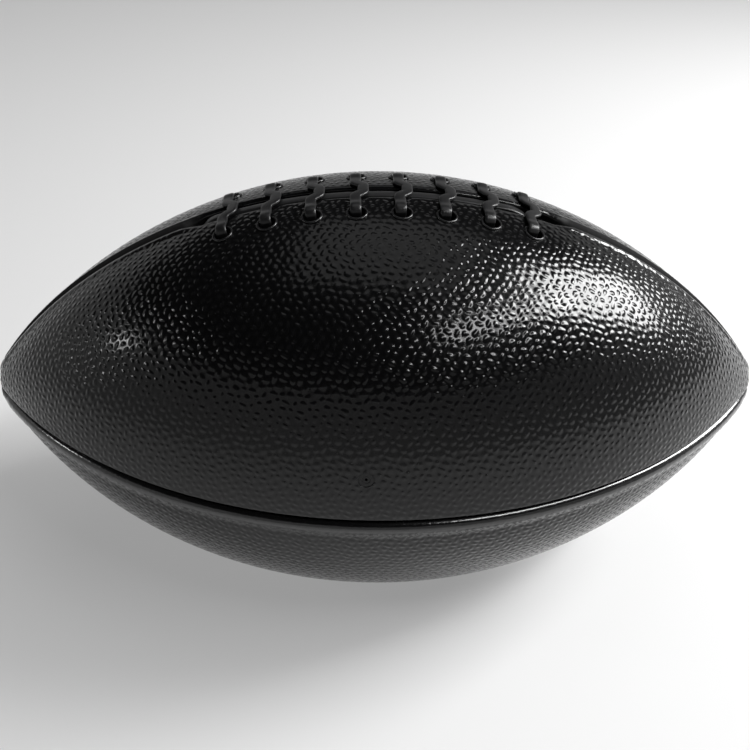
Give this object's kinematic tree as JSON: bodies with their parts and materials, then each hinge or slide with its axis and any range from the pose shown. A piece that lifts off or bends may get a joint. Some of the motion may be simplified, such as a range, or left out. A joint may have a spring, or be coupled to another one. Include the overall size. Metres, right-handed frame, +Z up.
{
  "type": "american football",
  "caption": "Black pebbled ball pointed at both ends, with seamed panels over a lined bladder and a flat lace crossing a slot between rimmed eyelets, for throwing, catching and kicking.",
  "frame": {"origin": "on the floor under the centre of the ball", "axes": "+X from the left tip to the right tip as pictured, +Z up through the laced seam, -Y towards the near seam, which faces the viewer"},
  "size_m": [0.2798, 0.1528, 0.1522],
  "materials": {
    "panel": "glossy pebbled black",
    "lace": "smooth black, slightly glossy edges",
    "eyelet": "glossy black",
    "lining": "woven, not seen",
    "bladder": "smooth, not seen",
    "guard": "plain, dark in the slot",
    "thread": "waxed",
    "valve": "matt"
  },
  "bodies": {
    "root": {"panel_near_upper": "panel", "panel_near_lower": "panel", "panel_far_lower": "panel", "panel_far_upper": "panel", "lining_near_upper": "lining", "lining_near_lower": "lining", "lining_far_lower": "lining", "lining_far_upper": "lining", "eyelet_near_1": "eyelet", "eyelet_near_2": "eyelet", "eyelet_near_3": "eyelet", "eyelet_near_4": "eyelet", "eyelet_near_5": "eyelet", "eyelet_near_6": "eyelet", "eyelet_near_7": "eyelet", "eyelet_near_8": "eyelet", "eyelet_far_1": "eyelet", "eyelet_far_2": "eyelet", "eyelet_far_3": "eyelet", "eyelet_far_4": "eyelet", "eyelet_far_5": "eyelet", "eyelet_far_6": "eyelet", "eyelet_far_7": "eyelet", "eyelet_far_8": "eyelet", "thread_top_left": "thread", "thread_top_right": "thread", "thread_near": "thread", "thread_bottom": "thread", "thread_far": "thread", "bladder": "bladder", "lace": "lace", "lace_guard": "guard", "valve_body": "valve", "valve_plug": "valve"}
  },
  "joints": []
}
